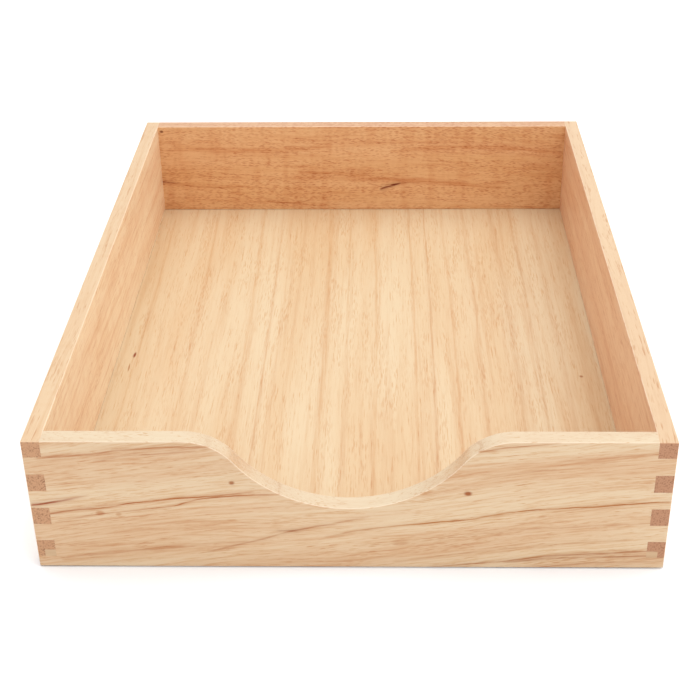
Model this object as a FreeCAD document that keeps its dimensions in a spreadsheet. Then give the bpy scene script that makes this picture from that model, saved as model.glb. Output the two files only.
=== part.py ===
import FreeCAD, Part
import os
import Sketcher

# Desktop letter tray: four thin hardwood boards glued at finger-jointed corners round a bottom panel
# that floats in a groove, with a hand scoop in the front board and glued plugs that close the ends of
# the side grooves.
#
# Frame: millimetres, +Z up, +X to the right of someone facing the front, the front facing -Y.
# Origin: the middle of the footprint, on the surface that the tray stands on.
#
# Corner joint, from the table up: the front and back boards end in a thin base pin, then side fingers
# and front or back fingers take turns.  The panel groove starts at the top of the base pin, so it runs
# out through the lowest side finger, where a plug closes it.

SIZES = (
    ("width", 257.2, "across the outer faces of the side boards"),
    ("depth", 320.7, "from the front face to the rear face"),
    ("height", 63.5, "every board, from the table to its top edge"),
    ("wall", 7.6, "board thickness"),
    ("finger", 8.4, "height of one joint finger"),
    ("base_pin", 5.5, "height of the lowest pin of the front and back boards"),
    ("panel_thick", 3.2, "bottom panel"),
    ("panel_slack", 0.2, "room above the panel in its groove"),
    ("groove_depth", 4.5, "how far the panel groove goes into a board"),
    ("panel_gap", 0.5, "room between the panel's edge and the end of the groove"),
    ("scoop_depth", 32.9, "lowest point of the hand scoop, below the top edge"),
    ("scoop_radius", 57.0, "hollow part of the scoop"),
    ("shoulder_radius", 25.0, "rounded shoulders where the scoop meets the top edge"),
    ("scoop_ease", 0.8, "rounding along both edges of the scooped top"),
)

# Sizes that follow from the sheet, as expressions.
HALF_WIDTH = "Sizes.width / 2"
HALF_DEPTH = "Sizes.depth / 2"
WEB = "Sizes.wall - Sizes.groove_depth"
PITCH = "2 * Sizes.finger"
GROOVE_HEIGHT = "Sizes.panel_thick + Sizes.panel_slack"
PANEL_INSET = "Sizes.wall - Sizes.groove_depth + Sizes.panel_gap"
SOCKET_COUNT = "ceil((Sizes.height - Sizes.base_pin) / (2 * Sizes.finger))"
SLOT_COUNT = "ceil((Sizes.height - Sizes.base_pin - Sizes.finger) / (2 * Sizes.finger))"
RADII = "(Sizes.scoop_radius + Sizes.shoulder_radius)"
SHOULDER_OFFSET = f"sqrt({RADII}^2 - ({RADII} - Sizes.scoop_depth)^2)"
SHOULDER_CENTRE = "Sizes.height - Sizes.shoulder_radius"
SCOOP_CENTRE = "Sizes.height - Sizes.scoop_depth + Sizes.scoop_radius"
THINNEST_WALL_IN_EASES = 4
EASE_LIMIT = f"min(Sizes.scoop_ease; Sizes.wall / {THINNEST_WALL_IN_EASES})"

# Each board's outer face lies on one of its body's origin planes.  True where the wood lies on the
# side of the plane that its normal points away from.
BEHIND_PLANE = {"XY_Plane": False, "XZ_Plane": True, "YZ_Plane": False}
HALF_TURN = FreeCAD.Rotation(FreeCAD.Vector(0, 0, 1), 180)
TOUCHING = 1e-4
LEAST_CUT = 1.0

# How a sketch names the points of a curve and its own origin and axis.
START = 1
END = 2
CENTRE = 3
ORIGIN = -1
VERTICAL_AXIS = -2


def make_sheet(doc):
    """Write the driving dimensions into the sheet and name each cell."""
    sheet = doc.addObject("Spreadsheet::Sheet", "Sizes")
    for row, (alias, value, meaning) in enumerate(SIZES, start=1):
        sheet.set(f"A{row}", alias)
        sheet.set(f"B{row}", str(value))
        sheet.set(f"C{row}", meaning)
        sheet.setAlias(f"B{row}", alias)
    doc.recompute()


def value_of(item, expression):
    """Work out an expression of sheet values as a plain number."""
    return float(item.evalExpression(expression))


def make_body(doc, label):
    """Add an empty body named as its piece."""
    body = doc.addObject("PartDesign::Body", label)
    body.Label = label
    return body


def add_sketch(body, name, role):
    """Attach a sketch to the body's own origin plane of the given role."""
    sketch = body.newObject("Sketcher::SketchObject", name)
    plane = next(item for item in body.Origin.OriginFeatures if item.Role == role)
    sketch.AttachmentSupport = [(plane, "")]
    sketch.MapMode = "FlatFace"
    return sketch


def bind(sketch, constraint, expression):
    """Add a measured constraint and tie it to the sheet."""
    index = sketch.addConstraint(constraint)
    sketch.setExpression(f"Constraints[{index}]", expression)


def add_rectangle(sketch, left, bottom, across, rise):
    """Draw a rectangle from its lower left corner and its two sides, each a sheet expression."""
    x_low, y_low, x_size, y_size = (value_of(sketch, item) for item in (left, bottom, across, rise))
    corners = [
        FreeCAD.Vector(x_low, y_low, 0),
        FreeCAD.Vector(x_low + x_size, y_low, 0),
        FreeCAD.Vector(x_low + x_size, y_low + y_size, 0),
        FreeCAD.Vector(x_low, y_low + y_size, 0),
    ]
    first = sketch.GeometryCount
    for begin, finish in zip(corners, corners[1:] + corners[:1]):
        sketch.addGeometry(Part.LineSegment(begin, finish), False)
    for side in range(len(corners)):
        following = first + (side + 1) % len(corners)
        sketch.addConstraint(Sketcher.Constraint("Coincident", first + side, END, following, START))
    for side in (0, 2):
        sketch.addConstraint(Sketcher.Constraint("Horizontal", first + side))
        sketch.addConstraint(Sketcher.Constraint("Vertical", first + side + 1))
    bind(sketch, Sketcher.Constraint("DistanceX", ORIGIN, START, first, START, x_low), left)
    bind(sketch, Sketcher.Constraint("DistanceY", ORIGIN, START, first, START, y_low), bottom)
    bind(sketch, Sketcher.Constraint("DistanceX", first, START, first, END, x_size), across)
    bind(sketch, Sketcher.Constraint("DistanceY", first + 1, START, first + 1, END, y_size), rise)


def add_scooped_outline(sketch):
    """Draw a board's face with the scoop: one hollow arc between two shoulders tangent to the top."""
    half = value_of(sketch, HALF_WIDTH)
    top = value_of(sketch, "Sizes.height")
    offset = value_of(sketch, SHOULDER_OFFSET)
    shoulder_centre = value_of(sketch, SHOULDER_CENTRE)
    scoop_centre = value_of(sketch, SCOOP_CENTRE)
    shoulder_radius = value_of(sketch, "Sizes.shoulder_radius")
    scoop_radius = value_of(sketch, "Sizes.scoop_radius")
    reach = scoop_radius / (scoop_radius + shoulder_radius)
    middle = FreeCAD.Vector(0, scoop_centre, 0)
    right_centre = FreeCAD.Vector(offset, shoulder_centre, 0)
    left_centre = FreeCAD.Vector(-offset, shoulder_centre, 0)
    right_meet = middle + (right_centre - middle) * reach
    left_meet = middle + (left_centre - middle) * reach
    right_top = FreeCAD.Vector(offset, top, 0)
    left_top = FreeCAD.Vector(-offset, top, 0)

    def arc(centre, radius, begin, finish):
        """An arc that runs anticlockwise from one point to another."""
        circle = Part.Circle(centre, FreeCAD.Vector(0, 0, 1), radius)
        return Part.ArcOfCircle(circle, circle.parameter(begin), circle.parameter(finish))

    corner_a = FreeCAD.Vector(-half, 0, 0)
    corner_b = FreeCAD.Vector(half, 0, 0)
    corner_c = FreeCAD.Vector(half, top, 0)
    corner_d = FreeCAD.Vector(-half, top, 0)
    base = sketch.addGeometry(Part.LineSegment(corner_a, corner_b), False)
    right = sketch.addGeometry(Part.LineSegment(corner_b, corner_c), False)
    top_right = sketch.addGeometry(Part.LineSegment(corner_c, right_top), False)
    shoulder_right = sketch.addGeometry(arc(right_centre, shoulder_radius, right_top, right_meet), False)
    hollow = sketch.addGeometry(arc(middle, scoop_radius, left_meet, right_meet), False)
    shoulder_left = sketch.addGeometry(arc(left_centre, shoulder_radius, left_meet, left_top), False)
    top_left = sketch.addGeometry(Part.LineSegment(left_top, corner_d), False)
    left = sketch.addGeometry(Part.LineSegment(corner_d, corner_a), False)

    corners = ((base, right), (right, top_right), (top_left, left), (left, base))
    for one, other in corners:
        sketch.addConstraint(Sketcher.Constraint("Coincident", one, END, other, START))
    for line in (base, top_right, top_left):
        sketch.addConstraint(Sketcher.Constraint("Horizontal", line))
    for line in (right, left):
        sketch.addConstraint(Sketcher.Constraint("Vertical", line))
    smooth_joins = (
        (top_right, END, shoulder_right, START),
        (shoulder_right, END, hollow, END),
        (hollow, START, shoulder_left, START),
        (shoulder_left, END, top_left, START),
    )
    for one, one_end, other, other_end in smooth_joins:
        sketch.addConstraint(Sketcher.Constraint("Tangent", one, one_end, other, other_end))
    sketch.addConstraint(Sketcher.Constraint("PointOnObject", hollow, CENTRE, VERTICAL_AXIS))
    bind(sketch, Sketcher.Constraint("DistanceX", ORIGIN, START, base, START, -half), f"-{HALF_WIDTH}")
    sketch.addConstraint(Sketcher.Constraint("DistanceY", ORIGIN, START, base, START, 0.0))
    bind(sketch, Sketcher.Constraint("DistanceX", base, START, base, END, 2 * half), "Sizes.width")
    bind(sketch, Sketcher.Constraint("DistanceY", right, START, right, END, top), "Sizes.height")
    bind(sketch, Sketcher.Constraint("DistanceY", left, END, left, START, top), "Sizes.height")
    bind(sketch, Sketcher.Constraint("DistanceY", ORIGIN, START, hollow, CENTRE, scoop_centre), SCOOP_CENTRE)
    bind(sketch, Sketcher.Constraint("Radius", hollow, scoop_radius), "Sizes.scoop_radius")
    bind(sketch, Sketcher.Constraint("Radius", shoulder_right, shoulder_radius), "Sizes.shoulder_radius")
    bind(sketch, Sketcher.Constraint("Radius", shoulder_left, shoulder_radius), "Sizes.shoulder_radius")


def pad(body, sketch, name, role, length):
    """Thicken a sketch on the given plane by a sheet expression, towards the wood's side."""
    feature = body.newObject("PartDesign::Pad", name)
    feature.Profile = sketch
    feature.Reversed = BEHIND_PLANE[role]
    feature.setExpression("Length", length)
    body.Document.recompute()


def cut_through(body, sketch, name, role, both_ways=False):
    """Cut a sketch on the given plane right through the wood, and make sure that it took some away."""
    before = body.Shape.Volume
    feature = body.newObject("PartDesign::Pocket", name)
    feature.Profile = sketch
    feature.Type = "ThroughAll"
    feature.Reversed = not BEHIND_PLANE[role]
    if both_ways:
        feature.SideType = "Symmetric"
    body.Document.recompute()
    if body.Shape.Volume > before - LEAST_CUT:
        raise RuntimeError(f"{body.Label}: {name} cuts nothing")
    return feature


def repeat_upwards(body, cut, name, sketch, count):
    """Repeat a cut up the board at the joint's pitch."""
    pattern = body.newObject("PartDesign::LinearPattern", name)
    pattern.Originals = [cut]
    pattern.Direction = (sketch, ["V_Axis"])
    pattern.Mode = "Spacing"
    pattern.setExpression("Offset", PITCH)
    pattern.setExpression("Occurrences", count)
    body.Tip = pattern
    body.Document.recompute()


def cut_groove(body, role):
    """Cut the panel groove along the whole inner face; the plane is square to the board's length."""
    sketch = add_sketch(body, f"{body.Label}_groove_outline", role)
    add_rectangle(sketch, WEB, "Sizes.base_pin", "Sizes.groove_depth", GROOVE_HEIGHT)
    cut_through(body, sketch, f"{body.Label}_groove", role, both_ways=True)


def ease_top(body):
    """Round both long edges of the scooped top, which run smoothly from end to end of the board."""
    blank = body.Tip
    top = value_of(body, "Sizes.height")
    lowest = top - value_of(body, "Sizes.scoop_depth")
    names = []
    for number, edge in enumerate(blank.Shape.Edges, start=1):
        box = edge.BoundBox
        along_face = box.YLength < TOUCHING and box.XLength > TOUCHING
        if along_face and box.ZMin > lowest - TOUCHING and box.ZMax < top + TOUCHING:
            names.append(f"Edge{number}")
    fillet = body.newObject("PartDesign::Fillet", f"{body.Label}_eased_top")
    fillet.Base = (blank, names)
    fillet.setExpression("Radius", EASE_LIMIT)
    body.Document.recompute()


def make_cross_board(doc, label, scooped):
    """Front or back board: outer face on the body's XZ plane, thickness along +Y."""
    face = "XZ_Plane"
    body = make_body(doc, label)
    outline = add_sketch(body, f"{label}_outline", face)
    if scooped:
        add_scooped_outline(outline)
    else:
        add_rectangle(outline, f"-{HALF_WIDTH}", "0", "Sizes.width", "Sizes.height")
    pad(body, outline, f"{label}_blank", face, "Sizes.wall")
    if scooped:
        ease_top(body)
    sockets = add_sketch(body, f"{label}_socket_outline", face)
    for end in (f"-{HALF_WIDTH}", f"{HALF_WIDTH} - Sizes.wall"):
        add_rectangle(sockets, end, "Sizes.base_pin", "Sizes.wall", "Sizes.finger")
    lowest = cut_through(body, sockets, f"{label}_lowest_sockets", face)
    repeat_upwards(body, lowest, f"{label}_sockets", sockets, SOCKET_COUNT)
    cut_groove(body, "YZ_Plane")
    return body


def make_side_board(doc, label):
    """Side board: outer face on the body's YZ plane, thickness along +X, fingers at both ends."""
    face = "YZ_Plane"
    body = make_body(doc, label)
    outline = add_sketch(body, f"{label}_outline", face)
    add_rectangle(outline, f"-{HALF_DEPTH}", "0", "Sizes.depth", "Sizes.height")
    pad(body, outline, f"{label}_blank", face, "Sizes.wall")
    notches = add_sketch(body, f"{label}_base_notch_outline", face)
    slots = add_sketch(body, f"{label}_slot_outline", face)
    for end in (f"-{HALF_DEPTH}", f"{HALF_DEPTH} - Sizes.wall"):
        add_rectangle(notches, end, "0", "Sizes.wall", "Sizes.base_pin")
        add_rectangle(slots, end, "Sizes.base_pin + Sizes.finger", "Sizes.wall", "Sizes.finger")
    cut_through(body, notches, f"{label}_base_notches", face)
    lowest = cut_through(body, slots, f"{label}_lowest_slots", face)
    repeat_upwards(body, lowest, f"{label}_slots", slots, SLOT_COUNT)
    cut_groove(body, "XZ_Plane")
    return body


def make_bottom_panel(doc):
    """Bottom panel: a plain sheet that lies on the lower faces of the four grooves."""
    face = "XY_Plane"
    body = make_body(doc, "bottom_panel")
    outline = add_sketch(body, "bottom_panel_outline", face)
    left = f"-({HALF_WIDTH} - ({PANEL_INSET}))"
    front = f"-({HALF_DEPTH} - ({PANEL_INSET}))"
    across = f"Sizes.width - 2 * ({PANEL_INSET})"
    along = f"Sizes.depth - 2 * ({PANEL_INSET})"
    add_rectangle(outline, left, front, across, along)
    pad(body, outline, "bottom_panel_sheet", face, "Sizes.panel_thick")
    body.setExpression(".Placement.Base.z", "Sizes.base_pin")
    return body


def make_groove_plug(doc, label, on_right, at_rear):
    """Plug: fills a side groove from the end of the board to where the front or back groove starts."""
    plug = doc.addObject("Part::Box", label)
    plug.Label = label
    plug.setExpression("Length", "Sizes.groove_depth")
    plug.setExpression("Width", WEB)
    plug.setExpression("Height", GROOVE_HEIGHT)
    x_low = f"{HALF_WIDTH} - Sizes.wall" if on_right else f"{WEB} - {HALF_WIDTH}"
    y_low = f"{HALF_DEPTH} - ({WEB})" if at_rear else f"-{HALF_DEPTH}"
    plug.setExpression(".Placement.Base.x", x_low)
    plug.setExpression(".Placement.Base.y", y_low)
    plug.setExpression(".Placement.Base.z", "Sizes.base_pin")
    return plug


def make_tray(doc):
    """Make every piece in its place and return them all."""
    front = make_cross_board(doc, "front_board", scooped=True)
    front.setExpression(".Placement.Base.y", f"-{HALF_DEPTH}")
    back = make_cross_board(doc, "back_board", scooped=False)
    back.Placement = FreeCAD.Placement(FreeCAD.Vector(0, 0, 0), HALF_TURN)
    back.setExpression(".Placement.Base.y", HALF_DEPTH)
    left = make_side_board(doc, "left_side_board")
    left.setExpression(".Placement.Base.x", f"-{HALF_WIDTH}")
    right = make_side_board(doc, "right_side_board")
    right.Placement = FreeCAD.Placement(FreeCAD.Vector(0, 0, 0), HALF_TURN)
    right.setExpression(".Placement.Base.x", HALF_WIDTH)
    pieces = [front, back, left, right, make_bottom_panel(doc)]
    for end, at_rear in (("front", False), ("rear", True)):
        for side, on_right in (("left", False), ("right", True)):
            label = f"{end}_{side}_groove_plug"
            pieces.append(make_groove_plug(doc, label, on_right, at_rear))
    return pieces


def check_document(doc, pieces):
    """Stop before anything is written if a feature failed or a piece isn't one good solid."""
    for item in doc.Objects:
        if "Invalid" in item.State or "Error" in item.State:
            raise RuntimeError(f"{item.Label} failed: {item.State}")
    for piece in pieces:
        shape = piece.Shape
        if shape.isNull() or not shape.isValid() or len(shape.Solids) != 1:
            raise RuntimeError(f"{piece.Label} isn't one valid solid")


def main():
    """Build the tray and write one STEP file for each piece."""
    doc = FreeCAD.newDocument("LetterTray")
    make_sheet(doc)
    pieces = make_tray(doc)
    doc.recompute()
    check_document(doc, pieces)
    os.makedirs("parts", exist_ok=True)
    for piece in pieces:
        piece.Shape.exportStep(f"parts/{piece.Label}.step")
        print(f"{piece.Label}: {piece.Shape.Volume:.1f} mm3")


main()
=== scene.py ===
import logging
import math
from dataclasses import dataclass, field
from enum import Enum
from typing import Callable, Optional

import bmesh
import bpy
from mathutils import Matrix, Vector


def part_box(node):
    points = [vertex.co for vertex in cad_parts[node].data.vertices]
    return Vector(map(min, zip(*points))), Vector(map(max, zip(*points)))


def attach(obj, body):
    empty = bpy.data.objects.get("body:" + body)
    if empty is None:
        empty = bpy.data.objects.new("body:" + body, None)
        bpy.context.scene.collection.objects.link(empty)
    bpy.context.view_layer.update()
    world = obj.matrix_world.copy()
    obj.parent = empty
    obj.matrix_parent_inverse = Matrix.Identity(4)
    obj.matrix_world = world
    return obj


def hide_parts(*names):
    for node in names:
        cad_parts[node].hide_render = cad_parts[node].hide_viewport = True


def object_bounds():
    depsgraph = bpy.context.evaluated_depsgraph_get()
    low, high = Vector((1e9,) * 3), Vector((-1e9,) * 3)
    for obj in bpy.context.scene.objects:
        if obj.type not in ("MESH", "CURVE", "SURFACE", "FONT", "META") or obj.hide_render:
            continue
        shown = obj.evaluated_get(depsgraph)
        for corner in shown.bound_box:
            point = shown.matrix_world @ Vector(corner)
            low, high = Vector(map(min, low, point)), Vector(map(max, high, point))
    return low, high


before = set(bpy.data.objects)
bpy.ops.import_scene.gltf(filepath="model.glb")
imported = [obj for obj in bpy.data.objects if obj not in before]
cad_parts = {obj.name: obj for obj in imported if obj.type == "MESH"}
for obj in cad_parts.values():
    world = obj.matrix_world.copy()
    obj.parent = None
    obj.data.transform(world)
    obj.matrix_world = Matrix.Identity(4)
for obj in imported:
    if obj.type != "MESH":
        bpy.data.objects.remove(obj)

CAD_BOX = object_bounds()
MM = 0.001
HAIR = 0.02 * MM
log = logging.getLogger("letter_tray")

Point = tuple[float, float]
Triple = tuple[float, float, float]
EdgeTest = Callable[[Vector, Vector], bool]
Solid = bpy.types.Object
Tree = bpy.types.NodeTree
Node = bpy.types.Node
SMOOTH = {"interpolation_type": "SMOOTHSTEP"}
BLEND = {"data_type": "RGBA"}
STAIN = {"data_type": "RGBA", "blend_type": "MULTIPLY"}
TIMES = {"operation": "MULTIPLY"}


# ---------------------------------------------------------------- small tools of the bench


def linear(code: str) -> tuple[float, float, float, float]:
    """Turn an sRGB hex colour into linear light.

    Args:
        code: Six hex digits with a leading hash sign.

    Returns:
        Red, green, blue and a full alpha.
    """
    parts = [int(code[i:i + 2], 16) / 255 for i in (1, 3, 5)]
    light = [c / 12.92 if c <= 0.04045 else ((c + 0.055) / 1.055) ** 2.4 for c in parts]
    return (*light, 1.0)


def add_node(tree: Tree, kind: str, settings: Optional[dict] = None,
             links: Optional[dict] = None) -> Node:
    """Add one node, set it and wire its inputs.

    Args:
        tree: The node tree that takes the node.
        kind: The node's type name, without the ShaderNode that it starts with.
        settings: The node's own settings, by name.
        links: For each input, by name or number, a plain value, another node's output, or a node,
            which hands on the first output that it has in use.

    Returns:
        The new node.
    """
    node = tree.nodes.new(f"ShaderNode{kind}")
    for name, value in (settings or {}).items():
        setattr(node, name, value)
    for key, source in (links or {}).items():
        if isinstance(source, Node):
            source = next(socket for socket in source.outputs if socket.enabled)
        if isinstance(source, bpy.types.NodeSocket):
            tree.links.new(source, node.inputs[key])
        else:
            node.inputs[key].default_value = source
    return node


def clear_selection() -> None:
    """Leave nothing selected."""
    bpy.ops.object.select_all(action="DESELECT")


def pick_edges(test: EdgeTest) -> int:
    """Select only those edges of the mesh in hand that pass a test.

    Args:
        test: Says yes or no to an edge from its two ends.

    Returns:
        How many edges were picked.
    """
    bpy.ops.mesh.select_mode(type="EDGE")
    bpy.ops.mesh.select_all(action="DESELECT")
    mesh = bpy.context.edit_object.data
    work = bmesh.from_edit_mesh(mesh)
    picked = [edge for edge in work.edges if test(edge.verts[0].co, edge.verts[1].co)]
    for edge in picked:
        edge.select_set(True)
    bmesh.update_edit_mesh(mesh)
    return len(picked)


def near(value: float, target: float) -> bool:
    """Say whether two lengths are the same to within a hair."""
    return abs(value - target) < HAIR


class Axis(Enum):
    """The tray's three directions, by number."""

    ACROSS = 0
    ALONG = 1
    UP = 2


def unit(axis: int, sign: float = 1.0) -> Triple:
    """Point one way along an axis, given by its number."""
    return tuple(sign if number == axis else 0.0 for number in range(3))


def take_up(piece: Solid) -> None:
    """Select one piece and make it the active one."""
    clear_selection()
    piece.select_set(True)
    bpy.context.view_layer.objects.active = piece


# ---------------------------------------------------------------- finishes

# The patterns that every board has, as length along the grain and width across it, in mm.  Real fibres
# are about 0.03 mm thick, far too fine to see: bundles of 0.8 mm stand for them.  STRAYS is how far
# apart the grain's bends lie, and FRAY how far the veins are shaken.
FIBRES = (20.0, 0.8)
BAND_LENGTH = 240.0
RING_LENGTH = 150.0
LINE_CELLS = (200.0, 15.0)
LINES_A_CELL = 9.0
LINE_BREAKS = (45.0, 5.0)
RIPPLES = (5.5, 30.0)
PORE_CROWDS = (60.0, 6.0)
STRAYS = (110.0, 34.0)
FRAY_SIZE = (26.0, 5.0)
FRAY = 1.1
# A vein fades out beyond its ends over a share of the board.  Its halo is some times as wide as the
# vein, and its core and halo show up to these depths.
VEIN_FADE = 0.012
HALO_WIDTH = 3.2
CORE_DEPTH = 0.75
HALO_DEPTH = 0.34
# On a cut face the pores show as mouths, drawn a little too large so that they can be seen.
PORE_MOUTHS = 0.75 * MM
MOUTH_CROWDS = 4 * MM
CUT_ROUGHER = 0.16
# How deep the lacquer sinks into a pore, and how much of that the fibres stand out.
PORE_SINK = 0.03 * MM
FIBRE_RELIEF = 0.35


@dataclass(frozen=True)
class Vein:
    """One coloured line that follows its own path through a board.

    Attributes:
        path: Points along the grain, each with its place across the grain, in mm.
        strength: How strongly it colours the wood at each of those points.
        width: Half its width, in mm.
        colour: sRGB hex.
    """

    path: tuple[Point, ...]
    strength: tuple[float, ...]
    width: float
    colour: str


@dataclass(frozen=True)
class Knot:
    """A small round flaw.

    Attributes:
        place: Along and across the grain, in mm.
        radii: Half its length and half its width, in mm.
        strength: How strongly it colours the wood.
        colour: sRGB hex.
    """

    place: Point
    radii: Point
    strength: float
    colour: str


@dataclass(frozen=True)
class Hardwood:
    """Rubberwood, planed and sanded, under one thin coat of clear satin lacquer.

    It is a pale, straight-grained wood.  The eye sees soft straw and pink bands, short brown dashes
    where the plane opened the pores, and a darker, speckled face wherever a board is cut across.

    Attributes:
        name: What the finish is called.
        grain: The direction of the fibres.
        figure: The direction across the fibres in which the veins are placed.
        pale, warm, deep: The ground, the bands and the late wood.
        pore: The dashes.
        cut, cut_dark: The face across the fibres, and its specks.
        edge, top_sheen_share: The greyed colour of the painted sheen on the faces that look up, and how far
            it goes there.
        arris, arris_highlight_share: The colour of the painted highlight along the rounded arrises, and how
            far it goes there.
        band, ring: Width of the tone bands and of the growth rings, in mm.
        band_share, ring_depth, fibre_depth, pore_depth, line_depth: How much of each shows.
        ripple_depth: How much of the faint figure that runs across the fibres shows.
        pore_size: Length and width of the cell round one short pore, in mm.
        streak_size: Length and width of a long pore streak, in mm.
        pore_share: How much of the wood has open pores, from 0 to 1.
        tilt: How steeply the grain climbs, in degrees.
        wander: How far the grain strays from straight, in mm.
        seed: Where in the log the board was cut, in mm.
        roughness: Roughness of the lacquer on the planed faces.
        veins, knots: Lines and flaws of this one board.
    """

    name: str
    grain: Axis
    figure: Axis
    pale: str
    warm: str
    deep: str
    pore: str
    cut: str = "#BD9072"
    cut_dark: str = "#85593D"
    # Painted sheen: this colour is mixed over the faces that look up.
    edge: str = "#E5D2B8"
    top_sheen_share: float = 0.0
    # Painted highlight: this near-white colour is mixed over the rounded arrises.
    arris: str = "#F4E6D2"
    arris_highlight_share: float = 0.32
    band: float = 14.0
    ring: float = 2.4
    band_share: float = 0.6
    ring_depth: float = 0.25
    fibre_depth: float = 0.35
    pore_depth: float = 0.5
    line_depth: float = 0.3
    ripple_depth: float = 0.0
    pore_size: Point = (7.0, 0.75)
    streak_size: Point = (15.0, 0.85)
    pore_share: float = 0.5
    tilt: float = 0.0
    wander: float = 2.5
    seed: Triple = (0.0, 0.0, 0.0)
    roughness: float = 0.42
    veins: tuple[Vein, ...] = ()
    knots: tuple[Knot, ...] = ()

    def material(self, reach: float) -> bpy.types.Material:
        """Make the material.

        Args:
            reach: Half the piece's length along the grain, in mm, over which the veins are placed.

        Returns:
            The finished material.
        """
        made = bpy.data.materials.new(self.name)
        made.use_nodes = True
        tree = made.node_tree
        tree.nodes.clear()
        place = add_node(tree, "TexCoord")
        grain = self._grain_space(tree, place)
        fibre = self._texture(tree, grain, FIBRES, 3.0, 0.7)
        pores = self._pores(tree, grain)
        # The ground takes a painted sheen on the faces that look up and painted highlights on the arrises.
        ground = self._paint_sheen_and_highlights(tree, place, self._ground(tree, grain, fibre))
        amount = add_node(tree, "Math", TIMES, {0: pores, 1: self.pore_depth})
        planed = add_node(tree, "Mix", STAIN, {0: amount, 6: ground, 7: linear(self.pore)})
        face = self._own_marks(tree, place, fibre, planed, reach)
        across = self._facing_along(tree, place)
        colour = self._cut_face(tree, place, face, across)
        self._lacquer(tree, colour, fibre, pores, across)
        return made

    def _through(self) -> int:
        """Number the axis that runs through the piece's thickness."""
        return ({axis.value for axis in Axis} - {self.grain.value, self.figure.value}).pop()

    def _grain_space(self, tree: Tree, place: Node) -> Node:
        """Lay the fibres along X, in mm, and let them wander a little.

        Args:
            tree: The material's tree.
            place: The piece's own coordinates.

        Returns:
            The place of each point in the board's grain.
        """
        climb = math.radians(self.tilt)
        turn = (0.0, climb, 0.0) if self.grain is Axis.ACROSS else (climb, 0.0, math.radians(-90))
        scaled = add_node(tree, "Mapping", {}, {
            "Vector": place.outputs["Object"], "Scale": (1 / MM,) * 3, "Rotation": turn,
            "Location": self.seed,
        })
        long, wide = STRAYS
        slow = add_node(tree, "VectorMath", TIMES, {0: scaled, 1: (1 / long, 1 / wide, 1 / wide)})
        drift = add_node(tree, "TexNoise", {}, {"Vector": slow, "Scale": 1.0, "Detail": 1.5})
        centred = add_node(tree, "VectorMath", {"operation": "SUBTRACT"}, {
            0: drift.outputs["Color"], 1: (0.5, 0.5, 0.5),
        })
        # The noise strays from its middle by about a quarter, so four times that is the whole wander.
        reach = 4 * self.wander
        sized = add_node(tree, "VectorMath", TIMES, {0: centred, 1: (0.0, reach, reach)})
        return add_node(tree, "VectorMath", {"operation": "ADD"}, {0: scaled, 1: sized})

    def _texture(self, tree: Tree, grain: Node, size: Point, detail: float, crispness: float = 0.5) -> Node:
        """Add a noise drawn out along the grain.

        Args:
            tree: The material's tree.
            grain: The grain's coordinates in mm.
            size: The pattern's length and width, in mm.
            detail: How much finer noise it holds.
            crispness: How strong that finer noise is.

        Returns:
            The noise, about 0.5 on average.
        """
        long, wide = size
        stretched = add_node(tree, "VectorMath", TIMES, {0: grain, 1: (1 / long, 1 / wide, 1 / wide)})
        return add_node(tree, "TexNoise", {}, {
            "Vector": stretched, "Scale": 1.0, "Detail": detail, "Roughness": crispness,
        })

    def _ground(self, tree: Tree, grain: Node, fibre: Node) -> Node:
        """Mix the bands, the growth rings, the thin lines, the ripples and the fibres.

        Args:
            tree: The material's tree.
            grain: The grain's coordinates in mm.
            fibre: The fine fibre noise.

        Returns:
            The colour of the planed face, before its pores.
        """
        bands = self._texture(tree, grain, (BAND_LENGTH, self.band), 2.0)
        rings = self._texture(tree, grain, (RING_LENGTH, self.ring), 2.0)
        lines = self._lines(tree, grain)
        ripples = self._texture(tree, grain, RIPPLES, 2.0)
        colour = linear(self.pale)
        # For each layer: its mask, the mask's values where it starts and is full, how much shows, its
        # colour, how it grows and how it is laid on.
        for mask, (start, full), depth, tint, growth, laid in (
            (bands, (0.36, 0.66), self.band_share, self.warm, SMOOTH, BLEND),
            (rings, (0.48, 0.72), self.ring_depth, self.deep, SMOOTH, STAIN),
            (lines, (0.0, 1.0), self.line_depth, self.deep, {}, STAIN),
            (ripples, (0.42, 0.72), self.ripple_depth, self.deep, SMOOTH, STAIN),
            (fibre, (0.5, 0.74), self.fibre_depth, self.deep, {}, STAIN),
            (fibre, (0.5, 0.28), self.fibre_depth, self.pale, {}, BLEND),
        ):
            shown = add_node(tree, "MapRange", growth, {
                "Value": mask, "From Min": start, "From Max": full, "To Max": depth,
            })
            colour = add_node(tree, "Mix", laid, {0: shown, 6: colour, 7: linear(tint)})
        return colour

    def _lines(self, tree: Tree, grain: Node) -> Node:
        """Add the thin dark lines of the late wood, which come and go.

        Args:
            tree: The material's tree.
            grain: The grain's coordinates in mm.

        Returns:
            1 on a line, 0 beside it.
        """
        contour = self._texture(tree, grain, LINE_CELLS, 0.5)
        steps = add_node(tree, "Math", TIMES, {0: contour, 1: LINES_A_CELL})
        wave = add_node(tree, "Math", {"operation": "PINGPONG"}, {0: steps, 1: 0.5})
        line = add_node(tree, "MapRange", SMOOTH, {"Value": wave, "From Min": 0.09, "From Max": 0.0})
        broken = self._texture(tree, grain, LINE_BREAKS, 1.0)
        gate = add_node(tree, "MapRange", SMOOTH, {"Value": broken, "From Min": 0.45, "From Max": 0.65})
        return add_node(tree, "Math", TIMES, {0: line, 1: gate})

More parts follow.
